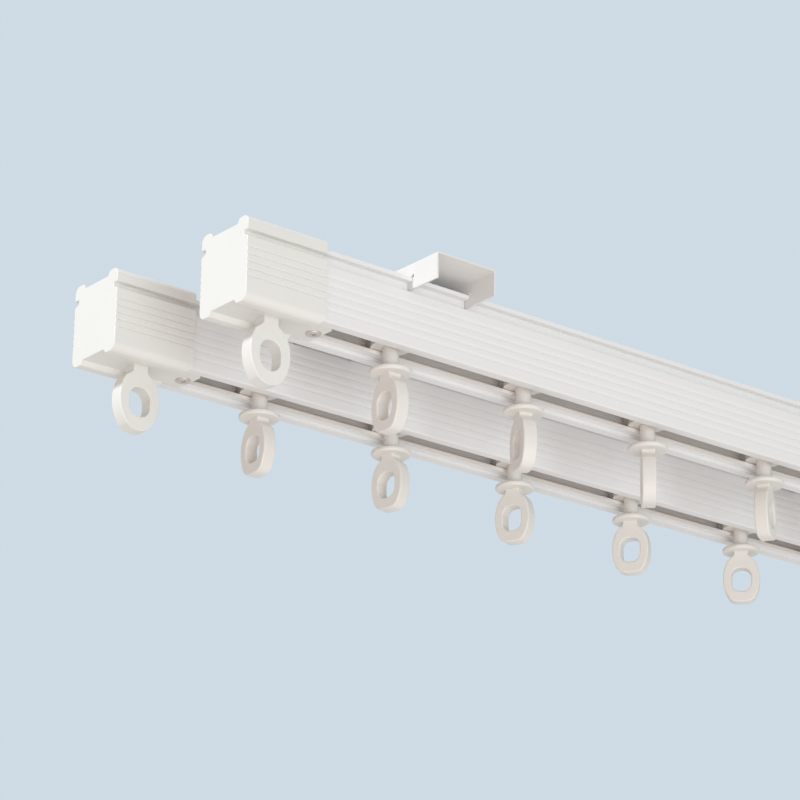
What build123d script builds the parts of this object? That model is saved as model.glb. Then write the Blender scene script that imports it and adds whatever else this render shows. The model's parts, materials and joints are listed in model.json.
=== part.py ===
from build123d import *
import os

# A double curtain track for a ceiling, in millimetres.
# X runs along the rails, Y runs across from the front rail to the back rail, and Z is up.
# The origin lies on the ceiling plane, in the middle between the rails and the brackets.

# Layout of the track
rail_length = 270.0
rail_spacing = 45.0          # from the middle of one rail to the middle of the other
rail_stagger = 5.35          # the back rail is set this far towards -X
runner_count = 5             # on each rail
runner_pitch = 41.5
first_runner = 26.2          # from the left cap's inner end to the first runner
bracket_inset = 35.1         # from a cap's inner end to the middle of the bracket
ceiling_gap = 3.65           # from the ceiling down to the top of the rails

# Section of a rail
rail_width = 15.8
rail_height = 18.05
side_wall = 1.3
web_thickness = 1.2
web_drop = 0.9               # the top web lies this far below the two shoulders
shoulder_width = 2.9
shoulder_ramp = 0.6
flange_thickness = 1.25      # the head's edge, which the brackets hook under
groove_depth = 1.8
groove_height = 2.0
groove_chamfer = 0.85
slot_width = 6.0
lip_thickness = 1.0
foot_width = 2.75
foot_height = 1.0            # the feet reach this far below the lips
rail_edge_round = 0.4

# Shallow reeds along the sides of the rails and the caps
reed_count = 5
rail_reed_top = 6.9          # from the rail's top to the first reed's deepest line
rail_reed_bottom = 3.0       # from the last reed to the rail's bottom
rail_reed_above = 0.8        # height of the long flank, above the deepest line
rail_reed_below = 0.2
rail_reed_depth = 0.22
cap_reed_top = 7.85
cap_reed_bottom = 6.0
cap_reed_above = 0.3
cap_reed_below = 0.3
cap_reed_depth = 0.3

# End caps: a moulded sleeve with a tongue under the rail and a fixed eye
cap_length = 22.8
cap_end_wall = 1.8
cap_side_wall = 1.2
cap_rise = 1.95              # above the rail's top
cap_drop = 1.0               # below the rail's bottom
cap_fit = 0.1                # clearance all round the rail
cap_end_gap = 0.2            # from the end wall to the end of the rail
cap_web_drop = 1.25
cap_shoulder_width = 3.4
cap_shoulder_ramp = 0.85
cap_shoulder_round = 1.8
cap_groove_top = 3.7         # from the cap's top
cap_groove_depth = 1.6
cap_groove_height = 0.95
cap_groove_chamfer = 0.7
cap_floor_inset = 0.1        # the floor lies this far above the rail's feet
cap_foot_width = 3.8
cap_foot_ramp = 1.0
cap_foot_round = 2.0
cap_foot_edge_round = 0.6
cap_corner_chamfer = 0.9     # top and bottom of the cap's inner end
tongue_length = 5.6
tongue_chamfer = 1.1
key_length = 7.0             # block on the tongue that fills the rail's slot

# Screw of a cap, which spreads the key in the slot
screw_reach = 3.2            # from the cap's inner end to the screw
screw_head_diameter = 3.7
screw_head_height = 0.5
screw_diameter = 2.0
screw_tip = 0.6              # stands out above the key
screw_fit = 0.05

# Runners: a slider in the channel and an eye that turns in it
slider_width = 9.9           # across the flats of its many-sided body
slider_sides = 12
slider_thickness = 3.4
slider_lift = 0.15           # running gap above the lips
wing_length = 5.0            # guide wings beside the slider's body
wing_fit = 0.3               # to each wall of the channel
stem_diameter = 3.9
stem_fit = 0.08
stem_drop = 3.4              # from the rail's bottom to the guard disc
head_length = 5.6
head_width = 3.0
head_height = 1.2
head_play = 0.15             # above the slider
disc_diameter = 10.2
disc_thickness = 1.25
first_turn = -90.0           # how the first eye of each rail is turned
front_turn_step = -20.0
back_turn_step = 10.5

# Eyes of the runners
eye_width = 10.1
eye_widest = 6.4             # above the eye's bottom
eye_base_width = 6.2
eye_base_rise = 0.4          # the eye's bottom edge is an arc of this rise
eye_base_round = 2.8
eye_shoulder_width = 7.6
eye_shoulder_drop = 1.75     # below the neck
eye_shoulder_round = 1.6
eye_height = 13.55           # below the neck
eye_thickness = 3.6
eye_neck_width = 3.9
eye_neck_length = 0.9
eye_hole_width = 5.35
eye_hole_height = 6.7
eye_hole_floor = 3.05        # above the eye's bottom
eye_hole_round = 2.3

# Eyes of the caps
cap_eye_place = 12.65        # from the cap's outer end
cap_eye_width = 11.3
cap_eye_widest = 7.6
cap_eye_base_width = 5.6
cap_eye_base_rise = 0.7
cap_eye_base_round = 3.6
cap_eye_shoulder_width = 8.6
cap_eye_shoulder_drop = 1.65
cap_eye_shoulder_round = 1.8
cap_eye_height = 14.75
cap_eye_thickness = 3.7
cap_eye_neck_width = 4.1
cap_eye_neck_length = 1.8
cap_eye_hole_width = 5.9
cap_eye_hole_height = 7.45
cap_eye_hole_floor = 3.45
cap_eye_hole_round = 2.85

neck_round = 0.8             # where an eye's shoulders run into its neck

# Ceiling brackets: folded sheet with hooks that hold the rails' heads
bracket_width = 18.0
bracket_overhang = 9.3       # past the outer faces of the two rails
sheet_thickness = 0.5
bend_inner_radius = 0.15
hook_fit = 0.2               # beside and above the rails' heads
hook_gap = 0.1               # below the hooks, in the groove
relief_size = 0.7            # corner cuts that let the sheet's hooks be stamped
ceiling_hole_diameter = 4.5

# Levels and half widths that follow from the sizes
rail_half = rail_width / 2
rail_top = -ceiling_gap
rail_bottom = rail_top - rail_height
groove_top = rail_top - flange_thickness
groove_floor = groove_top - groove_height
groove_half = rail_half - groove_depth
lip_underside = rail_bottom + foot_height
lip_top = lip_underside + lip_thickness
foot_inner = rail_half - foot_width
channel_half = rail_half - side_wall
channel_top = groove_floor - groove_chamfer - side_wall / 2
chamber_half = groove_half - side_wall
chamber_top = rail_top - web_drop - web_thickness

cap_half = rail_half + cap_side_wall
cap_top = rail_top + cap_rise
cap_bottom = rail_bottom - cap_drop
cap_floor = rail_bottom + cap_floor_inset
tongue_top = lip_underside - cap_fit
tongue_half = foot_inner - cap_fit
cap_outer_end = rail_length / 2 + cap_end_gap + cap_end_wall
cap_inner_end = cap_outer_end - cap_length
screw_place = cap_inner_end - screw_reach
key_half = slot_width / 2 - cap_fit

runner_start = first_runner - cap_inner_end
slider_bottom = lip_top + slider_lift
slider_top = slider_bottom + slider_thickness
head_bottom = slider_top + head_play
head_top = head_bottom + head_height
disc_top = rail_bottom - stem_drop
disc_bottom = disc_top - disc_thickness

bracket_place = cap_inner_end - bracket_inset
bracket_length = rail_spacing + rail_width + 2 * bracket_overhang
bracket_bottom = groove_floor + hook_gap


def symmetric_face(half_outline):
    """Face with the given outline on its +Y side and the same mirrored on its -Y side."""
    other_half = [(-y, z) for y, z in reversed(half_outline) if y > 0]
    return make_face(Polyline(*half_outline, *other_half, close=True))


def round_corners(face, radius, *places):
    """Rounds the face's corners at the given places and at their mirror images."""
    spots = [Vector(side * y, z) for y, z in places for side in (-1, 1)]
    chosen = [v for v in face.vertices() if any((Vector(*v) - s).length < 1e-4 for s in spots)]
    return fillet(chosen, radius)


def reed_cuts(half, first, last, above, below, depth):
    """Shallow V cuts on both sides of a section, evenly spaced from the first to the last level."""
    step = (last - first) / (reed_count - 1)
    tooth = Polygon((-depth, 0), (0, above), (depth, 0), (0, -below), align=None)
    return [Pos(side * half, first + step * k) * tooth for side in (-1, 1) for k in range(reed_count)]


def along_x(face, start, length):
    """Prism of a section drawn in Y and Z, from start towards +X."""
    return extrude(Plane.YZ.offset(start) * face, amount=length)


def upright(face, bottom, top):
    """Upright prism of a plan face between two levels."""
    return extrude(Plane.XY.offset(bottom) * face, amount=top - bottom)


def rail_envelope():
    """Outer outline of a rail, without its reeds and its channel."""
    shoulder = rail_half - shoulder_width
    outline = [
        (0, rail_top - web_drop),
        (shoulder - shoulder_ramp, rail_top - web_drop),
        (shoulder, rail_top),
        (rail_half, rail_top),
        (rail_half, groove_top),
        (groove_half, groove_top),
        (groove_half, groove_floor),
        (rail_half, groove_floor - groove_chamfer),
        (rail_half, rail_bottom),
        (foot_inner, rail_bottom),
        (foot_inner, lip_underside),
        (0, lip_underside),
    ]
    return symmetric_face(outline)


def rail():
    """Extruded rail: C section with a hooked head, reeded sides and a slot between two lips."""
    channel = symmetric_face([
        (0, chamber_top),
        (chamber_half, chamber_top),
        (chamber_half, channel_top),
        (channel_half, channel_top),
        (channel_half, lip_top),
        (slot_width / 2, lip_top),
        (slot_width / 2, lip_underside - foot_height),
        (0, lip_underside - foot_height),
    ])
    section = rail_envelope()
    section = round_corners(section, rail_edge_round, (rail_half, rail_top), (rail_half, rail_bottom))
    section -= reed_cuts(rail_half, rail_top - rail_reed_top, rail_bottom + rail_reed_bottom,
                         rail_reed_above, rail_reed_below, rail_reed_depth)
    section -= channel
    return along_x(section, -rail_length / 2, rail_length)


def eye_outline(width, widest, base_width, base_rise, base_round,
                shoulder_width, shoulder_drop, shoulder_round, height, neck_width, neck_length):
    """Outline of a hanging eye with its neck in one, with the middle of the neck's top at the origin."""
    bottom = -neck_length - height
    half_outline = [
        (neck_width / 2, 0),
        (neck_width / 2, -neck_length),
        (shoulder_width / 2, -neck_length - shoulder_drop),
        (base_width / 2, bottom + base_rise),
    ]
    top, neck, shoulder, base = half_outline
    other_top, other_neck, other_shoulder, other_base = [(-x, z) for x, z in half_outline]
    outline = make_face([
        Polyline(shoulder, neck, top, other_top, other_neck, other_shoulder),
        ThreePointArc(other_shoulder, (-width / 2, bottom + widest), other_base),
        ThreePointArc(other_base, (0, bottom), base),
        ThreePointArc(base, (width / 2, bottom + widest), shoulder),
    ])
    outline = round_corners(outline, neck_round, neck)
    outline = round_corners(outline, shoulder_round, shoulder)
    return round_corners(outline, base_round, base)


def hanging_eye(outline, thickness, bottom, hole_width, hole_height, hole_floor, hole_round):
    """Flat eye of the given outline that hangs in the XZ plane."""
    hole = RectangleRounded(hole_width, hole_height, hole_round)
    plate = outline - Pos(0, bottom + hole_floor + hole_height / 2) * hole
    return extrude(Plane.XZ * plate, amount=thickness / 2, both=True)


def cap_section():
    """Outer section of an end cap: the rail's form, larger and softer."""
    shoulder = cap_half - cap_shoulder_width
    groove_ceiling = cap_top - cap_groove_top
    groove_foot = groove_ceiling - cap_groove_height
    foot = cap_half - cap_foot_width
    outline = [
        (0, cap_top - cap_web_drop),
        (shoulder - cap_shoulder_ramp, cap_top - cap_web_drop),
        (shoulder, cap_top),
        (cap_half, cap_top),
        (cap_half, groove_ceiling),
        (cap_half - cap_groove_depth, groove_ceiling),
        (cap_half - cap_groove_depth, groove_foot),
        (cap_half, groove_foot - cap_groove_chamfer),
        (cap_half, cap_bottom),
        (foot, cap_bottom),
        (foot - cap_foot_ramp, cap_floor),
        (0, cap_floor),
    ]
    section = symmetric_face(outline)
    section = round_corners(section, cap_shoulder_round, (cap_half, cap_top))
    section = round_corners(section, cap_shoulder_ramp, (shoulder, cap_top))
    section = round_corners(section, cap_foot_round, (cap_half, cap_bottom))
    section = round_corners(section, cap_foot_edge_round, (foot, cap_bottom))
    return section - reed_cuts(cap_half, cap_top - cap_reed_top, cap_bottom + cap_reed_bottom,
                               cap_reed_above, cap_reed_below, cap_reed_depth)


def cap():
    """End cap for the +X end of a rail: sleeve, tongue with the key, and fixed eye."""
    sleeve = along_x(cap_section(), cap_inner_end, cap_length)
    side = Rectangle(2 * cap_length, cap_top - cap_bottom, align=(Align.CENTER, Align.MAX))
    side = chamfer(side.vertices(), cap_corner_chamfer)
    sleeve &= extrude(Plane.XZ * Pos(cap_outer_end, cap_top) * side, amount=cap_half, both=True)
    cavity = offset(rail_envelope(), amount=cap_fit, kind=Kind.INTERSECTION)
    sleeve -= along_x(cavity, cap_inner_end, cap_length - cap_end_wall)

    plan = Pos(cap_inner_end, 0) * Rectangle(2 * tongue_length, 2 * tongue_half)
    plan = chamfer(plan.vertices().sort_by(Axis.X)[:2], tongue_chamfer)
    screw_hole = Pos(screw_place, 0) * Circle(screw_diameter / 2 + screw_fit)
    tongue = upright(plan - screw_hole, cap_floor, tongue_top)
    key_plan = Pos(screw_place, 0) * Rectangle(key_length, 2 * key_half) & plan
    tongue += upright(key_plan - screw_hole, tongue_top, lip_top)

    outline = eye_outline(cap_eye_width, cap_eye_widest, cap_eye_base_width, cap_eye_base_rise, cap_eye_base_round,
                          cap_eye_shoulder_width, cap_eye_shoulder_drop, cap_eye_shoulder_round, cap_eye_height,
                          cap_eye_neck_width, cap_eye_neck_length)
    eye = hanging_eye(outline, cap_eye_thickness, -cap_eye_neck_length - cap_eye_height,
                      cap_eye_hole_width, cap_eye_hole_height, cap_eye_hole_floor, cap_eye_hole_round)
    return sleeve + tongue + Pos(cap_outer_end - cap_eye_place, 0, cap_floor) * eye


def cap_screw():
    """Pan head screw that goes up through the cap's tongue and its key."""
    head = upright(Circle(screw_head_diameter / 2), cap_floor - screw_head_height, cap_floor)
    shank = upright(Circle(screw_diameter / 2), cap_floor, lip_top + screw_tip)
    return Pos(screw_place, 0) * (head + shank)


def runner_slider():
    """Slider of a runner: body on the lips, with a guide wing towards each wall of the channel."""
    body = RegularPolygon(slider_width / 2, slider_sides, major_radius=False, rotation=180 / slider_sides)
    plan = body + Rectangle(wing_length, 2 * (channel_half - wing_fit))
    plan -= Circle(stem_diameter / 2 + stem_fit)
    return upright(plan, slider_bottom, slider_top)


def runner_eye():
    """Turning part of a runner: T head above the slider, stem, guard disc and eye."""
    disc = upright(Circle(disc_diameter / 2), disc_bottom, disc_top)
    stem = upright(Circle(stem_diameter / 2), disc_bottom, head_bottom)
    head = upright(Rectangle(head_length, head_width), head_bottom, head_top)
    outline = eye_outline(eye_width, eye_widest, eye_base_width, eye_base_rise, eye_base_round,
                          eye_shoulder_width, eye_shoulder_drop, eye_shoulder_round, eye_height,
                          eye_neck_width, eye_neck_length)
    eye = hanging_eye(outline, eye_thickness, -eye_neck_length - eye_height,
                      eye_hole_width, eye_hole_height, eye_hole_floor, eye_hole_round)
    return disc + stem + head + Pos(0, 0, disc_bottom) * eye


def bracket():
    """Ceiling bracket: a sheet folded to an inverted U, with hooks cut in both legs and a screw hole."""
    leg = -bracket_bottom
    outer = Rectangle(bracket_width, leg, align=(Align.CENTER, Align.MAX))
    outer = fillet(outer.vertices().group_by(Axis.Y)[-1], bend_inner_radius + sheet_thickness)
    inner = Rectangle(bracket_width - 2 * sheet_thickness, leg, align=(Align.CENTER, Align.MAX))
    inner = fillet(inner.vertices().group_by(Axis.Y)[-1], bend_inner_radius)
    fold = outer - Pos(0, -sheet_thickness) * inner
    channel = extrude(Plane.XZ * fold, amount=bracket_length / 2, both=True)

    notch_half = rail_half + hook_fit
    notch_top = rail_top + hook_fit
    mouth_half = groove_half + hook_fit
    notch = symmetric_face([
        (0, notch_top),
        (notch_half, notch_top),
        (notch_half, groove_top),
        (mouth_half, groove_top),
        (mouth_half, bracket_bottom - hook_gap),
        (0, bracket_bottom - hook_gap),
    ])
    notch += [Pos(side * notch_half, notch_top) * Rectangle(relief_size, relief_size) for side in (-1, 1)]
    for side in (-1, 1):
        channel -= along_x(Pos(side * rail_spacing / 2, 0) * notch, -bracket_width, 2 * bracket_width)
    return channel - Cylinder(ceiling_hole_diameter / 2, 2 * ceiling_gap)


def save(name, shape):
    export_step(shape, f"parts/{name}.step")


rails = {
    "front": (Pos(0, -rail_spacing / 2), front_turn_step),
    "back": (Pos(-rail_stagger, rail_spacing / 2), back_turn_step),
}
ends = {"right": Rot(0, 0, 0), "left": Rot(0, 0, 180)}
end_pieces = {"cap": cap(), "screw": cap_screw()}
rail_shape = rail()
slider_shape = runner_slider()
eye_shape = runner_eye()
bracket_shape = bracket()

os.makedirs("parts", exist_ok=True)
for rail_name, (rail_place, turn_step) in rails.items():
    save(f"{rail_name}_rail", rail_place * rail_shape)
    for end_name, end_turn in ends.items():
        for piece_name, piece in end_pieces.items():
            save(f"{rail_name}_{end_name}_{piece_name}", rail_place * end_turn * piece)
    for k in range(runner_count):
        runner_place = rail_place * Pos(runner_start + k * runner_pitch, 0)
        save(f"{rail_name}_slider_{k + 1}", runner_place * slider_shape)
        save(f"{rail_name}_eye_{k + 1}", runner_place * Rot(0, 0, first_turn + k * turn_step) * eye_shape)

save("right_bracket", Pos(bracket_place, 0) * bracket_shape)
save("left_bracket", Pos(-bracket_place, 0) * bracket_shape)
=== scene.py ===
"""Looks of a ceiling curtain track: painted rails and brackets, moulded caps and runners, zinc screws."""

import json
import logging
import math
from dataclasses import dataclass
from enum import Enum
from typing import Any, Callable, Iterable

import bmesh
import bpy
from mathutils import Matrix, Vector

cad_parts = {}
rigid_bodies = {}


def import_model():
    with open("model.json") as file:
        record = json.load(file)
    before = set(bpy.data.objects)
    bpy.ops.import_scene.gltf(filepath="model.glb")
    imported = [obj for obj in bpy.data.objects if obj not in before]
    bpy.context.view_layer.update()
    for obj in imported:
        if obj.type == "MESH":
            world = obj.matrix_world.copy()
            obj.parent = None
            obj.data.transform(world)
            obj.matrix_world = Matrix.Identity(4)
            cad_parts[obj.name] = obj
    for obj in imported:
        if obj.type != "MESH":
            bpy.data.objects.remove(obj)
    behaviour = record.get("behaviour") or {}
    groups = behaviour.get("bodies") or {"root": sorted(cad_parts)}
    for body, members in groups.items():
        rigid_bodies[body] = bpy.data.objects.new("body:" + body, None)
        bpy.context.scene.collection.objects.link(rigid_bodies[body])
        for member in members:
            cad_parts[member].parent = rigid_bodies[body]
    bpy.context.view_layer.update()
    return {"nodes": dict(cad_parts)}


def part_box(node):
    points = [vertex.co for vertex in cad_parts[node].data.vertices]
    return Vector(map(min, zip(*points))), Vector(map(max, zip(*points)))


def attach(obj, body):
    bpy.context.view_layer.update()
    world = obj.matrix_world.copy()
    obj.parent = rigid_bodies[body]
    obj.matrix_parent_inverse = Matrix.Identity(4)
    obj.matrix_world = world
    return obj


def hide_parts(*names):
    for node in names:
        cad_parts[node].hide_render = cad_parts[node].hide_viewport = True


LOG = logging.getLogger("curtain_track")
MM = 0.001
MERGE_DISTANCE = 0.0005 * MM
NEAR = 0.005 * MM
FLAT_ANGLE = math.radians(0.5)
SHARP_ANGLE = math.radians(40.0)
STEEP_ANGLE = math.radians(60.0)
STRAIGHT_ON = 0.99
FIRST_COLOUR = 6
SECOND_COLOUR = 7
MIXED_COLOUR = 2
Triple = tuple[float, float, float]


class Slot(Enum):
    """Material slots of the pieces that are made here."""

    CAP = "cap_plastic"
    RUNNER = "runner_plastic"
    BRACKET = "bracket_white"
    SCREW = "screw_steel"


class Rail(Enum):
    """The two rails, named by where they hang."""

    FRONT = "front"
    BACK = "back"


class End(Enum):
    """The two ends of a rail."""

    LEFT = "left"
    RIGHT = "right"


class Signal:
    """A shader socket that takes part in Python arithmetic."""

    def __init__(self, tree: "ShaderTree", socket: bpy.types.NodeSocket | None) -> None:
        """Wraps a socket.

        Args:
            tree: the node tree that the socket belongs to.
            socket: the output socket, or None at the end of a tree.
        """
        self.tree = tree
        self.socket = socket

    def _math(self, operation: str, first: Any, second: Any) -> "Signal":
        """Adds one Math node on two values and returns its result."""
        return self.tree.node("ShaderNodeMath", {"operation": operation}, {0: first, 1: second})

    def __add__(self, other: Any) -> "Signal":
        """Sum of two values."""
        return self._math("ADD", self, other)

    def __radd__(self, other: Any) -> "Signal":
        """Sum with a plain number on the left."""
        return self._math("ADD", other, self)

    def __sub__(self, other: Any) -> "Signal":
        """Difference of two values."""
        return self._math("SUBTRACT", self, other)

    def __rsub__(self, other: Any) -> "Signal":
        """Difference with a plain number on the left."""
        return self._math("SUBTRACT", other, self)

    def __mul__(self, other: Any) -> "Signal":
        """Product of two values."""
        return self._math("MULTIPLY", self, other)

    def __rmul__(self, other: Any) -> "Signal":
        """Product with a plain number on the left."""
        return self._math("MULTIPLY", other, self)

    def __lt__(self, other: Any) -> "Signal":
        """1 where the value is below the other, and 0 elsewhere."""
        return self._math("LESS_THAN", self, other)

    def __gt__(self, other: Any) -> "Signal":
        """1 where the value is above the other, and 0 elsewhere."""
        return self._math("GREATER_THAN", self, other)

    def __abs__(self) -> "Signal":
        """The value without its sign."""
        return self._math("ABSOLUTE", self, 0.0)


class ShaderTree:
    """Node tree of a material or of the world, with the few helpers that the finishes need."""

    def __init__(self, owner: bpy.types.Material | bpy.types.World) -> None:
        """Starts an empty tree.

        Args:
            owner: the material or world that the tree belongs to.
        """
        owner.use_nodes = True
        self.owner = owner
        self.nodes = owner.node_tree.nodes
        self.links = owner.node_tree.links
        self.nodes.clear()

    def node(self, kind: str, settings: dict[str, Any], sockets: dict[Any, Any], output: Any = 0) -> Signal:
        """Adds one node.

        Args:
            kind: the node's type name.
            settings: properties that are set first, such as a Math node's operation.
            sockets: values or signals for the node's inputs, by name or number.
            output: name or number of the output to return.

        Returns:
            The chosen output as a signal.
        """
        made = self.nodes.new(kind)
        for name, value in settings.items():
            setattr(made, name, value)
        for name, value in sockets.items():
            if isinstance(value, Signal):
                self.links.new(value.socket, made.inputs[name])
            else:
                made.inputs[name].default_value = value
        return Signal(self, made.outputs[output] if made.outputs else None)

    def noise(self, size: float, stretch: Triple = (1.0, 1.0, 1.0), detail: float = 2.0) -> Signal:
        """Noise from 0 to 1 on the object's own coordinates.

        Args:
            size: size of one blot, in metres.
            stretch: how many times longer a blot is along X, Y and Z.
            detail: octaves of finer noise.

        Returns:
            The noise value.
        """
        place = self.node("ShaderNodeTexCoord", {}, {}, "Object")
        scale = tuple(1.0 / (size * along) for along in stretch)
        scaled = self.node("ShaderNodeMapping", {}, {"Vector": place, "Scale": scale})
        return self.node("ShaderNodeTexNoise", {}, {"Vector": scaled, "Scale": 1.0, "Detail": detail})

    def along(self, axis: str) -> Signal:
        """Place on the object along X, Y or Z, in metres."""
        place = self.node("ShaderNodeTexCoord", {}, {}, "Object")
        return self.node("ShaderNodeSeparateXYZ", {}, {"Vector": place}, axis)

    def looked_at(self) -> Signal:
        """Tells what is looked at from what only gives light.

        Returns:
            1 for rays from the camera, a mirror or glass, and 0 for the others.
        """
        seen = self.node("ShaderNodeLightPath", {}, {}, "Is Camera Ray")
        mirrored = self.node("ShaderNodeLightPath", {}, {}, "Is Glossy Ray")
        through = self.node("ShaderNodeLightPath", {}, {}, "Is Transmission Ray")
        return seen + mirrored + through

    def tint(self, factor: Signal, low: Triple | Signal, high: Triple) -> Signal:
        """Colour that goes from one to another.

        Args:
            factor: 0 for the first colour and 1 for the second.
            low: the first colour.
            high: the second colour.

        Returns:
            The mixed colour.
        """
        start = low if isinstance(low, Signal) else (*low, 1.0)
        sockets = {"Factor": factor, FIRST_COLOUR: start, SECOND_COLOUR: (*high, 1.0)}
        return self.node("ShaderNodeMix", {"data_type": "RGBA"}, sockets, MIXED_COLOUR)

    def bump(self, height: Signal, depth: float) -> Signal:
        """Normal from a height of 0 to 1 that stands for the given depth in metres."""
        return self.node("ShaderNodeBump", {}, {"Height": height, "Strength": 1.0, "Distance": depth})

    def surface(self, sockets: dict[str, Any]) -> bpy.types.Material:
        """Ends a material's tree with a Principled shader.

        Args:
            sockets: values or signals for the shader's inputs.

        Returns:
            The finished material.
        """
        shader = self.node("ShaderNodeBsdfPrincipled", {}, sockets)
        self.node("ShaderNodeOutputMaterial", {}, {"Surface": shader})
        return self.owner


@dataclass(frozen=True)
class Finish:
    """What every finish has: a name, and two close colours that it wanders between."""

    name: str
    light: Triple
    dark: Triple

    def tree(self) -> ShaderTree:
        """Starts the material of this finish."""
        return ShaderTree(bpy.data.materials.new(self.name))


@dataclass(frozen=True)
class SatinPaint(Finish):
    """White stove paint with a faint orange peel and draw lines along the rail."""

    roughness: float = 0.36
    roughness_spread: float = 0.10
    cloud_size: float = 22.0 * MM
    cloud_stretch: Triple = (4.0, 1.0, 1.0)
    cloud_detail: float = 3.0
    peel_size: float = 0.9 * MM
    peel_depth: float = 0.006 * MM
    line_size: float = 0.55 * MM
    line_stretch: Triple = (400.0, 1.0, 1.0)
    line_share: float = 0.8

    def material(self) -> bpy.types.Material:
        """Builds the paint.

        Returns:
            The material.
        """
        tree = self.tree()
        cloud = tree.noise(self.cloud_size, self.cloud_stretch, self.cloud_detail)
        peel = tree.noise(self.peel_size)
        lines = tree.noise(self.line_size, self.line_stretch)
        height = peel + lines * self.line_share
        rough = cloud * self.roughness_spread + (self.roughness - self.roughness_spread / 2)
        return tree.surface({
            "Base Color": self.colour(tree, cloud),
            "Roughness": rough,
            "Normal": tree.bump(height, self.peel_depth),
        })

    def colour(self, tree: ShaderTree, cloud: Signal) -> Signal:
        """Colour of the paint, a little cloudy."""
        return tree.tint(cloud, self.dark, self.light)


@dataclass(frozen=True)
class RailPaint(SatinPaint):
    """The rails' paint, with painted light within the channel: a brighter, warmer tint in place of light
    bounced about in it.
    """

    # painted light: a brighter, warmer colour within the channel that stands in for light bounced about in
    # it
    channel_painted_light: Triple = (0.95, 0.90, 0.86)
    rail_offset: float = 22.5 * MM
    channel_half: float = 6.7 * MM
    channel_top: float = -8.3 * MM
    channel_bottom: float = -20.6 * MM

    def colour(self, tree: ShaderTree, cloud: Signal) -> Signal:
        """Colour of the paint, with painted light, a brighter and warmer tint, within the channel.

        Args:
            tree: the paint's node tree.
            cloud: slow noise over the surface.

        Returns:
            The colour.
        """
        # mask of the channel, where the painted light goes
        level = tree.along("Z")
        within = abs(abs(tree.along("Y")) - self.rail_offset) < self.channel_half
        channel = within * (level < self.channel_top) * (level > self.channel_bottom)
        return tree.tint(channel, super().colour(tree, cloud), self.channel_painted_light)


@dataclass(frozen=True)
class MouldedPlastic(Finish):
    """Cream plastic from an eroded mould: fine grain, cloudy flow marks and a soft shine."""

    roughness: float = 0.42
    roughness_spread: float = 0.12
    flow_size: float = 9.0 * MM
    flow_detail: float = 4.0
    grain_size: float = 0.18 * MM
    grain_detail: float = 1.0
    grain_depth: float = 0.004 * MM

    def material(self) -> bpy.types.Material:
        """Builds the plastic.

        Returns:
            The material.
        """
        tree = self.tree()
        flow = tree.noise(self.flow_size, detail=self.flow_detail)
        grain = tree.noise(self.grain_size, detail=self.grain_detail)
        rough = flow * self.roughness_spread + grain * self.roughness_spread
        return tree.surface({
            "Base Color": tree.tint(flow, self.dark, self.light),
            "Roughness": rough + (self.roughness - self.roughness_spread),
            "Normal": tree.bump(grain, self.grain_depth),
        })


@dataclass(frozen=True)
class ZincSteel(Finish):
    """Zinc plated steel of a small screw."""

    roughness: float = 0.5
    roughness_spread: float = 0.2
    spangle_size: float = 0.5 * MM
    spangle_detail: float = 3.0
    scratch_size: float = 0.05 * MM
    scratch_stretch: Triple = (12.0, 1.0, 1.0)
    scratch_depth: float = 0.002 * MM

    def material(self) -> bpy.types.Material:
        """Builds the metal.

        Returns:
            The material.
        """
        tree = self.tree()
        spangle = tree.noise(self.spangle_size, detail=self.spangle_detail)
        scratch = tree.noise(self.scratch_size, self.scratch_stretch)
        return tree.surface({
            "Base Color": tree.tint(spangle, self.dark, self.light),
            "Metallic": 1.0,
            "Roughness": spangle * self.roughness_spread + self.roughness,
            "Normal": tree.bump(scratch, self.scratch_depth),
        })


@dataclass(frozen=True)
class Finishes:
    """All the materials of the track."""

    rail: bpy.types.Material
    cap: bpy.types.Material
    runner: bpy.types.Material
    bracket: bpy.types.Material
    screw: bpy.types.Material

    @classmethod
    def make(cls) -> "Finishes":
        """Builds each material once.

        Returns:
            The set of materials.
        """
        rail = RailPaint("rail_paint", (0.81, 0.81, 0.81), (0.785, 0.785, 0.78))
        cap = MouldedPlastic("cap_plastic", (0.782, 0.78, 0.745), (0.752, 0.747, 0.71))
        runner = MouldedPlastic("runner_plastic", (0.79, 0.77, 0.73), (0.755, 0.73, 0.685), roughness=0.40)
        bracket = SatinPaint("bracket_paint", (0.77, 0.76, 0.745), (0.745, 0.735, 0.715),
                             roughness=0.42, line_share=0.0)
        screw = ZincSteel("screw_zinc", (0.75, 0.66, 0.58), (0.64, 0.56, 0.49))
        return cls(*(finish.material() for finish in (rail, cap, runner, bracket, screw)))


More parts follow.
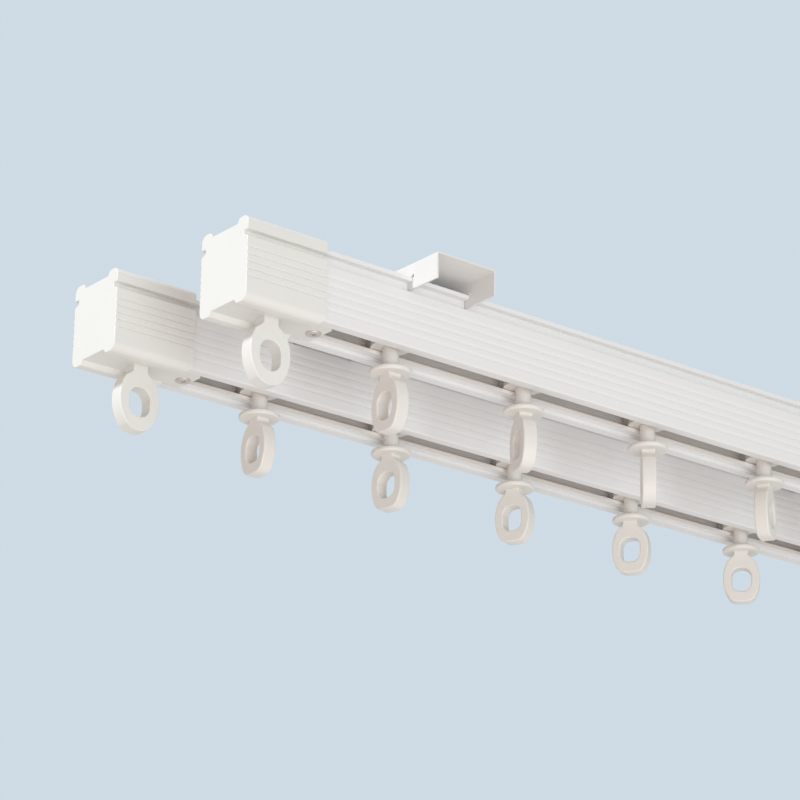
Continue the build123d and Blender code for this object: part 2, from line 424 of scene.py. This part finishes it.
class Shell:
    """A closed mesh under construction, in metres in the part's frame."""

    def __init__(self, mesh: bmesh.types.BMesh) -> None:
        """Takes over a bmesh."""
        self.mesh = mesh

    @classmethod
    def of_solid(cls, node: str) -> "Shell":
        """Copies a solid of the part, with its triangles merged into whole flat faces.

        Args:
            node: the solid's name.

        Returns:
            The new shell.
        """
        mesh = bmesh.new()
        mesh.from_mesh(bpy.data.objects[node].data)
        bmesh.ops.remove_doubles(mesh, verts=mesh.verts[:], dist=MERGE_DISTANCE)
        bmesh.ops.dissolve_degenerate(mesh, dist=MERGE_DISTANCE, edges=mesh.edges[:])
        bmesh.ops.dissolve_limit(mesh, angle_limit=FLAT_ANGLE, verts=mesh.verts[:], edges=mesh.edges[:])
        return cls(mesh)

    @classmethod
    def block(cls, low: Vector, high: Vector, edge_round: float, segments: int) -> "Shell":
        """Box between two corners, with rounded edges.

        Args:
            low: lowest corner.
            high: highest corner.
            edge_round: radius of all its edges.
            segments: faces across each rounded edge.

        Returns:
            The new shell.
        """
        mesh = bmesh.new()
        place = Matrix.Translation((low + high) / 2) @ Matrix.Diagonal((*(high - low), 1.0))
        bmesh.ops.create_cube(mesh, size=1.0, matrix=place)
        shell = cls(mesh)
        shell.round_edges(lambda edge: True, edge_round, segments)
        return shell

    @classmethod
    def turned(cls, profile: Iterable[tuple[float, float]], steps: int) -> "Shell":
        """Solid of revolution about Z.

        Args:
            profile: radius and height of each corner, from the lowest to the highest.
            steps: faces in one turn.

        Returns:
            The new shell.
        """
        mesh = bmesh.new()
        corners = [mesh.verts.new((radius, 0.0, height)) for radius, height in profile]
        edges = [mesh.edges.new(pair) for pair in zip(corners, corners[1:])]
        bmesh.ops.spin(mesh, geom=corners + edges, cent=(0, 0, 0), axis=(0, 0, 1), dvec=(0, 0, 0),
                       angle=math.tau, steps=steps, use_merge=True)
        bmesh.ops.remove_doubles(mesh, verts=mesh.verts[:], dist=MERGE_DISTANCE)
        bmesh.ops.recalc_face_normals(mesh, faces=mesh.faces[:])
        return cls(mesh)

    def round_edges(self, chosen: Callable[[bmesh.types.BMEdge], bool], radius: float, segments: int,
                    may_narrow: bool = False) -> None:
        """Rounds the edges that a test picks.

        Args:
            chosen: test on an edge.
            radius: width of the rounding.
            segments: faces across it.
            may_narrow: whether the rounding gets narrower where an edge is too short for it.
        """
        edges = [edge for edge in self.mesh.edges if len(edge.link_faces) == 2 and chosen(edge)]
        bmesh.ops.bevel(self.mesh, geom=edges, offset=radius, offset_type="OFFSET", segments=segments,
                        profile=0.5, affect="EDGES", clamp_overlap=may_narrow, material=-1)

    def moved(self, place: Matrix) -> "Shell":
        """The same shell, moved by a matrix."""
        bmesh.ops.transform(self.mesh, matrix=place, verts=self.mesh.verts[:])
        return self

    def to_object(self, name: str) -> bpy.types.Object:
        """Puts the shell into the scene and frees its bmesh.

        Args:
            name: name of the object.

        Returns:
            The new object.
        """
        data = bpy.data.meshes.new(name)
        self.mesh.to_mesh(data)
        self.mesh.free()
        made = bpy.data.objects.new(name, data)
        bpy.context.scene.collection.objects.link(made)
        return made


def is_steep(edge: bmesh.types.BMEdge) -> bool:
    """Whether two faces meet at about a right angle at an edge."""
    return edge.calc_face_angle(0.0) > STEEP_ANGLE


def united(name: str, shells: list[Shell]) -> bpy.types.Mesh:
    """Joins overlapping shells into one closed mesh.

    Args:
        name: name of the mesh.
        shells: closed shells that overlap in a chain.

    Returns:
        The mesh of the whole.
    """
    objects = [shell.to_object(f"{name}_shell_{k}") for k, shell in enumerate(shells)]
    for other in objects[1:]:
        join = objects[0].modifiers.new(other.name, "BOOLEAN")
        join.operation = "UNION"
        join.solver = "EXACT"
        join.object = other
    graph = bpy.context.evaluated_depsgraph_get()
    whole = bpy.data.meshes.new_from_object(objects[0].evaluated_get(graph))
    whole.name = name
    for used in objects:
        bpy.data.meshes.remove(used.data)
    return whole


def shade(data: bpy.types.Mesh) -> None:
    """Shades a mesh smooth, with a crisp edge wherever two faces meet at a sharp angle.

    Args:
        data: the mesh.
    """
    mesh = bmesh.new()
    mesh.from_mesh(data)
    for face in mesh.faces:
        face.smooth = True
    for edge in mesh.edges:
        edge.smooth = edge.calc_face_angle(0.0) < SHARP_ANGLE
    mesh.to_mesh(data)
    mesh.free()


def dress(made: bpy.types.Object, finish: bpy.types.Material, body: str, node: str) -> None:
    """Gives a new piece its finish, its smooth shading and its place in the part.

    Args:
        made: the new object.
        finish: its material.
        body: the body that carries it.
        node: the solid that it stands for.
    """
    shade(made.data)
    made.data.materials.clear()
    made.data.materials.append(finish)
    weighted = made.modifiers.new("even_shading", "WEIGHTED_NORMAL")
    weighted.keep_sharp = True
    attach(made, body)
    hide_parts(node)
    LOG.info("%s rides on %s with %d faces", made.name, body, len(made.data.polygons))


def place_mesh(name: str, mesh: bpy.types.Mesh, place: Matrix) -> bpy.types.Object:
    """Makes an object with its own copy of a mesh, moved within the mesh itself.

    Args:
        name: name of the object.
        mesh: the mesh to copy.
        place: where the copy goes.

    Returns:
        The new object.
    """
    data = mesh.copy()
    data.transform(place)
    made = bpy.data.objects.new(name, data)
    bpy.context.scene.collection.objects.link(made)
    return made


@dataclass
class EyePlate:
    """The flat eye and neck that hang from a runner or a cap, with softened rims."""

    thickness: float
    root: float = 0.5 * MM
    rim_round: float = 0.4 * MM
    segments: int = 4

    def shell(self, solid: Shell) -> Shell:
        """Builds the eye with its neck, which goes a little way into what carries it.

        Args:
            solid: the solid's copy, moved so that its eye hangs from the Z axis in the XZ plane.

        Returns:
            The eye as a closed shell.
        """
        mesh = solid.mesh
        others = [face for face in mesh.faces if not self.is_flat_side(face)]
        bmesh.ops.delete(mesh, geom=others, context="FACES")
        grown = bmesh.ops.extrude_face_region(mesh, geom=mesh.faces[:])
        moved = [item for item in grown["geom"] if isinstance(item, bmesh.types.BMVert)]
        bmesh.ops.translate(mesh, verts=moved, vec=(0.0, -self.thickness, 0.0))
        bmesh.ops.recalc_face_normals(mesh, faces=mesh.faces[:])
        top = max(corner.co.z for corner in mesh.verts)
        solid.round_edges(lambda edge: self.is_rim(edge, top), self.rim_round, self.segments)
        upper = [corner for corner in mesh.verts if top - corner.co.z < NEAR]
        bmesh.ops.translate(mesh, verts=upper, vec=(0.0, 0.0, self.root))
        return solid

    def is_flat_side(self, face: bmesh.types.BMFace) -> bool:
        """Whether a face lies on the eye's flat side towards +Y."""
        away = face.calc_center_median().y - self.thickness / 2
        return face.normal.y > STRAIGHT_ON and abs(away) < NEAR

    @staticmethod
    def is_rim(edge: bmesh.types.BMEdge, top: float) -> bool:
        """Whether an edge is a rim of the eye, and not round the top end of its neck."""
        at_top = all(top - corner.co.z < NEAR for corner in edge.verts)
        return not at_top and is_steep(edge)


@dataclass
class Runners:
    """The runners of both rails: a slider in the channel and a turning eye below it."""

    finishes: Finishes
    count: int = 5
    eye_thickness: float = 3.6 * MM
    disc_thickness: float = 1.25 * MM
    disc_radius: float = 5.1 * MM
    disc_round: float = 0.45 * MM
    disc_round_steps: int = 4
    stem_radius: float = 1.95 * MM
    stem_foot: float = 0.35 * MM
    stem_foot_hollow: float = 0.105 * MM
    stem_length: float = 9.1 * MM
    head_length: float = 5.6 * MM
    head_width: float = 3.0 * MM
    head_height: float = 1.2 * MM
    head_round: float = 0.25 * MM
    head_round_steps: int = 3
    turn_steps: int = 64
    slider_round: float = 1.1 * MM
    slider_round_steps: int = 3
    least_corner: float = math.radians(20.0)
    most_corner: float = math.radians(40.0)

    def place(self, rail: Rail, number: int) -> Vector:
        """Middle of a runner in plan, read from its slider."""
        low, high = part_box(f"{rail.value}_slider_{number}")
        return Vector(((low.x + high.x) / 2, (low.y + high.y) / 2, 0.0))

    def eye_turn(self, rail: Rail, number: int) -> float:
        """Reads how far an eye is turned about Z from the long side of its T head.

        Args:
            rail: the rail that the runner is on.
            number: the runner's number along it.

        Returns:
            The angle, in radians.
        """
        corners = bpy.data.objects[f"{rail.value}_eye_{number}"].data.vertices
        top = max(corner.co.z for corner in corners)
        middle = self.place(rail, number)
        head = [corner.co - middle for corner in corners if top - corner.co.z < NEAR]
        first = max(head, key=lambda corner: (round(corner.x / NEAR), corner.y))
        mate = next(corner for corner in head
                    if abs((first - corner).xy.length - self.head_length) < NEAR)
        along = (first - mate).xy
        return math.atan2(along.y, along.x)

    def eye_mesh(self) -> bpy.types.Mesh:
        """Builds the turning part of a runner about the Z axis, with its eye in the XZ plane.

        Returns:
            The mesh, which every runner shares.
        """
        node = "front_eye_1"
        head_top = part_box(node)[1].z
        head_bottom = head_top - self.head_height
        disc_top = head_bottom - self.stem_length
        disc_bottom = disc_top - self.disc_thickness
        unturned = (Matrix.Rotation(-self.eye_turn(Rail.FRONT, 1), 4, "Z")
                    @ Matrix.Translation(-self.place(Rail.FRONT, 1)))
        eye = EyePlate(self.eye_thickness).shell(Shell.of_solid(node).moved(unturned))
        disc = Shell.turned(self.disc_profile(disc_bottom, disc_top), self.turn_steps)
        foot_radius = self.stem_radius + self.stem_foot
        stem = Shell.turned([
            (0.0, disc_bottom + self.disc_round),
            (foot_radius, disc_bottom + self.disc_round),
            (foot_radius, disc_top),
            (self.stem_radius + self.stem_foot_hollow, disc_top + self.stem_foot_hollow),
            (self.stem_radius, disc_top + self.stem_foot),
            (self.stem_radius, head_bottom + self.head_round),
            (0.0, head_bottom + self.head_round),
        ], self.turn_steps)
        half = Vector((self.head_length / 2, self.head_width / 2, 0.0))
        low = Vector((0.0, 0.0, head_bottom)) - half
        high = Vector((0.0, 0.0, head_top)) + half
        head = Shell.block(low, high, self.head_round, self.head_round_steps)
        return united("runner_eye", [disc, stem, head, eye])

    def disc_profile(self, bottom: float, top: float) -> list[tuple[float, float]]:
        """Half section of the guard disc, with a round rim.

        Args:
            bottom: level of its underside.
            top: level of its upper side.

        Returns:
            Radius and height of each corner, from the lowest to the highest.
        """
        inner = self.disc_radius - self.disc_round
        steps = range(self.disc_round_steps + 1)
        quarter = [math.pi / 2 * step / self.disc_round_steps for step in steps]
        out = [inner + self.disc_round * math.sin(angle) for angle in quarter]
        rise = [self.disc_round * (1.0 - math.cos(angle)) for angle in quarter]
        lower = [(radius, bottom + height) for radius, height in zip(out, rise)]
        upper = [(radius, top - height) for radius, height in zip(reversed(out), reversed(rise))]
        return [(0.0, bottom), *lower, *upper, (0.0, top)]

    def build(self) -> None:
        """Builds and dresses every runner."""
        eye_mesh = self.eye_mesh()
        for rail in Rail:
            for number in range(1, self.count + 1):
                node = f"{rail.value}_eye_{number}"
                turn = Matrix.Rotation(self.eye_turn(rail, number), 4, "Z")
                place = Matrix.Translation(self.place(rail, number)) @ turn
                eye = place_mesh(f"{node}_moulding", eye_mesh, place)
                dress(eye, self.finishes.runner, node, node)
                self.build_slider(rail, number)

    def build_slider(self, rail: Rail, number: int) -> None:
        """Builds one slider, with its upright edges softened.

        Args:
            rail: the rail that the runner is on.
            number: the runner's number along it.
        """
        node = f"{rail.value}_slider_{number}"
        slider = Shell.of_solid(node)
        slider.round_edges(self.is_upright_corner, self.slider_round, self.slider_round_steps)
        dress(slider.to_object(f"{node}_moulding"), self.finishes.runner, node, node)

    def is_upright_corner(self, edge: bmesh.types.BMEdge) -> bool:
        """Tells the upright corners of the many-sided body.

        Args:
            edge: an edge of the slider.

        Returns:
            True for such a corner.
        """
        along = edge.verts[0].co - edge.verts[1].co
        upright = abs(along.z) > STRAIGHT_ON * along.length
        return upright and self.least_corner < edge.calc_face_angle(0.0) < self.most_corner


@dataclass
class EndCaps:
    """The moulded end caps and the screws in their tongues."""

    finishes: Finishes
    eye_thickness: float = 3.7 * MM
    eye_place: float = 12.65 * MM
    eye_reach: float = 6.0 * MM
    eye_round: float = 0.22 * MM
    floor_depth: float = 19.9 * MM
    edge_round: float = 0.18 * MM
    edge_round_steps: int = 3
    recess_width: float = 0.55 * MM
    recess_length: float = 2.1 * MM
    recess_depth: float = 0.42 * MM
    recess_taper: float = 0.7
    screw_head_round: float = 0.3 * MM
    screw_head_steps: int = 4

    def build(self) -> None:
        """Builds and dresses every cap and its screw."""
        moulding = self.cap_mesh()
        for rail in Rail:
            for end in End:
                node = f"{rail.value}_{end.value}_cap"
                cap = place_mesh(f"{node}_moulding", moulding, self.eye_frame(rail, end))
                dress(cap, self.finishes.cap, "track", node)
                self.build_screw(rail, end)

    def eye_frame(self, rail: Rail, end: End) -> Matrix:
        """Place of a cap about the upright axis of its eye.

        Args:
            rail: the rail that the cap is on.
            end: the end of that rail.

        Returns:
            The place, with the cap's closed end towards its own -X.
        """
        low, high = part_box(f"{rail.value}_{end.value}_cap")
        middle = (low.y + high.y) / 2
        if end is End.LEFT:
            return Matrix.Translation((low.x + self.eye_place, middle, 0.0))
        half_turn = Matrix.Rotation(math.pi, 4, "Z")
        return Matrix.Translation((high.x - self.eye_place, middle, 0.0)) @ half_turn

    def cap_mesh(self) -> bpy.types.Mesh:
        """Builds the sleeve and the eye of a cap as one moulding, about the eye's axis.

        Returns:
            The mesh, which every cap shares.
        """
        node = "front_left_cap"
        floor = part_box(node)[1].z - self.floor_depth
        about_eye = self.eye_frame(Rail.FRONT, End.LEFT).inverted()

        sleeve = Shell.of_solid(node).moved(about_eye)
        hanging = [face for face in sleeve.mesh.faces if self.is_of_eye(face, floor)]
        bmesh.ops.delete(sleeve.mesh, geom=hanging, context="FACES")
        open_edges = [edge for edge in sleeve.mesh.edges if edge.is_boundary]
        bmesh.ops.edgeloop_fill(sleeve.mesh, edges=open_edges)
        sleeve.round_edges(self.is_end_rim, self.edge_round, self.edge_round_steps)

        eye = Shell.of_solid(node).moved(about_eye)
        fixed = [face for face in eye.mesh.faces if not self.is_of_eye(face, floor)]
        bmesh.ops.delete(eye.mesh, geom=fixed, context="FACES")
        plate = EyePlate(self.eye_thickness, rim_round=self.eye_round)
        return united("cap_moulding", [sleeve, plate.shell(eye)])

    def is_of_eye(self, face: bmesh.types.BMFace, floor: float) -> bool:
        """Tells the faces of the eye and neck that hang from the cap's floor.

        Args:
            face: a face of the cap, about the eye's axis.
            floor: level of the floor's underside.

        Returns:
            True for the faces of the eye and its neck.
        """
        middle = face.calc_center_median()
        within = abs(middle.x) < self.eye_reach and abs(middle.y) < self.eye_thickness / 2 + NEAR
        return within and middle.z < floor - NEAR

    def is_end_rim(self, edge: bmesh.types.BMEdge) -> bool:
        """Whether an edge runs round the cap's closed end face."""
        at_end = all(abs(corner.co.x + self.eye_place) < NEAR for corner in edge.verts)
        return at_end and is_steep(edge)

    def build_screw(self, rail: Rail, end: End) -> None:
        """Builds one pan head screw with a cross recess.

        Args:
            rail: the rail that its cap is on.
            end: the end of that rail.
        """
        node = f"{rail.value}_{end.value}_screw"
        low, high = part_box(node)
        face_middle = Vector(((low.x + high.x) / 2, (low.y + high.y) / 2, low.z))
        screw = Shell.of_solid(node)
        screw.round_edges(lambda edge: self.is_head_rim(edge, low.z),
                          self.screw_head_round, self.screw_head_steps)
        self.cut_recess(screw, face_middle)
        dress(screw.to_object(f"{node}_steel"), self.finishes.screw, "track", node)

    @staticmethod
    def is_head_rim(edge: bmesh.types.BMEdge, level: float) -> bool:
        """Whether an edge runs round the lower face of a screw's head."""
        at_face = all(corner.co.z - level < NEAR for corner in edge.verts)
        return at_face and is_steep(edge)

    def cut_recess(self, screw: Shell, face_middle: Vector) -> None:
        """Presses a cross into the underside of a screw's head.

        Args:
            screw: the screw's shell.
            face_middle: middle of the head's lower face.
        """
        mesh = screw.mesh
        arm = self.recess_width / 2
        reach = self.recess_length / 2
        for axis in (Vector((1, 0, 0)), Vector((0, 1, 0))):
            for step in (-reach, -arm, arm, reach):
                flat = [face for face in mesh.faces if self.is_level(face, face_middle.z)]
                geometry = set(flat)
                for face in flat:
                    geometry.update(face.edges)
                    geometry.update(face.verts)
                bmesh.ops.bisect_plane(mesh, geom=list(geometry), dist=MERGE_DISTANCE,
                                       plane_co=face_middle + axis * step, plane_no=axis)
        cross = [face for face in mesh.faces if self.is_level(face, face_middle.z)
                 and self.in_cross(face.calc_center_median() - face_middle)]
        pressed = bmesh.ops.extrude_face_region(mesh, geom=cross)
        bmesh.ops.delete(mesh, geom=cross, context="FACES")
        floor = [item for item in pressed["geom"] if isinstance(item, bmesh.types.BMVert)]
        bmesh.ops.translate(mesh, verts=floor, vec=(0, 0, self.recess_depth))
        bmesh.ops.scale(mesh, verts=floor, vec=(self.recess_taper, self.recess_taper, 1.0),
                        space=Matrix.Translation(-face_middle))

    @staticmethod
    def is_level(face: bmesh.types.BMFace, level: float) -> bool:
        """Whether a face lies at a level."""
        return abs(face.calc_center_median().z - level) < NEAR

    def in_cross(self, away: Vector) -> bool:
        """Whether a place, seen from the middle of the head, lies within the cross."""
        across, along = sorted((abs(away.x), abs(away.y)))
        return across < self.recess_width / 2 and along < self.recess_length / 2


@dataclass
class FixedParts:
    """The rails and the ceiling brackets."""

    finishes: Finishes
    sheet_round: float = 0.1 * MM
    sheet_round_steps: int = 2

    def build(self, nodes: dict[str, bpy.types.Object]) -> None:
        """Dresses the rails and builds the brackets.

        Args:
            nodes: the solids of the part by name.
        """
        for rail in Rail:
            node = nodes[f"{rail.value}_rail"]
            node.data.materials.clear()
            node.data.materials.append(self.finishes.rail)
            LOG.info("%s is painted", node.name)
        for end in End:
            name = f"{end.value}_bracket"
            bracket = Shell.of_solid(name)
            bracket.round_edges(is_steep, self.sheet_round, self.sheet_round_steps, may_narrow=True)
            dress(bracket.to_object(f"{name}_sheet"), self.finishes.bracket, "track", name)


@dataclass(frozen=True)
class Lamp:
    """One soft square lamp that faces the track."""

    name: str
    place: Triple
    power: float
    size: float
    colour: Triple

    def build(self) -> None:
        """Hangs the lamp."""
        data = bpy.data.lights.new(self.name, "AREA")
        data.energy = self.power
        data.size = self.size
        data.color = self.colour
        lamp = bpy.data.objects.new(self.name, data)
        turn = Vector(self.place).to_track_quat("Z", "Y").to_matrix().to_4x4()
        lamp.matrix_world = Matrix.Translation(self.place) @ turn
        bpy.context.scene.collection.objects.link(lamp)


@dataclass
class Studio:
    """Camera, floor, pale surroundings and soft lamps."""

    focal_length: float = 136.2
    sensor: float = 36.0
    place: Triple = (-502.2 * MM, -545.3 * MM, -280.4 * MM)
    heading: float = 38.586
    pitch: float = 20.387
    roll: float = 0.714
    view_depth: float = 100.0
    floor_drop: float = 1.3
    floor_size: float = 12.0
    backdrop: Triple = (0.62, 0.71, 0.78)
    floor_light: Triple = (0.93, 0.895, 0.85)
    floor_roughness: float = 0.9
    floor_glow: float = 0.36
    sky: Triple = (1.0, 0.944, 0.93)
    sky_strength: float = 0.58
    lamps: tuple[Lamp, ...] = (
        Lamp("key", (-1.3, 0.05, 1.0), 17.4, 0.2, (0.867, 0.951, 1.0)),
        Lamp("front", (-0.4, -1.4, -0.5), 8.98, 0.8, (0.832, 0.974, 1.0)),
        Lamp("side", (-0.9, -0.9, -0.6), 3.18, 0.8, (1.0, 0.694, 0.654)),
    )

    def build(self) -> None:
        """Builds the whole studio."""
        self.build_camera()
        self.build_world()
        self.build_floor()
        for lamp in self.lamps:
            lamp.build()
        bpy.context.scene.view_settings.view_transform = "Standard"

    def build_camera(self) -> None:
        """Sets the camera at the photograph's viewing angle."""
        data = bpy.data.cameras.new("photo_camera")
        data.lens = self.focal_length
        data.sensor_width = self.sensor
        data.sensor_height = self.sensor
        data.clip_end = self.view_depth
        camera = bpy.data.objects.new("photo_camera", data)
        turn = (Matrix.Rotation(-math.radians(self.heading), 4, "Z")
                @ Matrix.Rotation(math.radians(90.0 + self.pitch), 4, "X")
                @ Matrix.Rotation(math.radians(self.roll), 4, "Z"))
        camera.matrix_world = Matrix.Translation(self.place) @ turn
        bpy.context.scene.collection.objects.link(camera)
        bpy.context.scene.camera = camera

    def build_world(self) -> None:
        """Gives soft light all round, and a pale backdrop to look at."""
        world = bpy.data.worlds.new("studio_world")
        tree = ShaderTree(world)
        sky = {"Color": (*self.sky, 1.0), "Strength": self.sky_strength}
        light = tree.node("ShaderNodeBackground", {}, sky)
        seen = tree.node("ShaderNodeBackground", {}, {"Color": (*self.backdrop, 1.0)})
        mixed = tree.node("ShaderNodeMixShader", {}, {"Fac": tree.looked_at(), 1: light, 2: seen})
        tree.node("ShaderNodeOutputWorld", {}, {"Surface": mixed})
        bpy.context.scene.world = world

    def build_floor(self) -> None:
        """Lays a plain pale floor far below the track."""
        mesh = bmesh.new()
        bmesh.ops.create_grid(mesh, x_segments=1, y_segments=1, size=self.floor_size / 2,
                              matrix=Matrix.Translation((0, 0, -self.floor_drop)))
        floor = Shell(mesh).to_object("floor")
        tree = ShaderTree(bpy.data.materials.new("floor_paint"))
        looked_at = tree.looked_at()
        floor.data.materials.append(tree.surface({
            "Base Color": tree.tint(looked_at, self.floor_light, self.backdrop),
            "Roughness": self.floor_roughness,
            "Emission Color": tree.tint(looked_at, (0.0, 0.0, 0.0), self.backdrop),
            "Emission Strength": self.floor_glow,
        }))


def main() -> None:
    """Loads the part, dresses it and sets up the studio."""
    logging.basicConfig(level=logging.INFO, format="%(message)s")
    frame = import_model()
    finishes = Finishes.make()
    FixedParts(finishes).build(frame["nodes"])
    EndCaps(finishes).build()
    Runners(finishes).build()
    Studio().build()


if __name__ == "__main__":
    main()
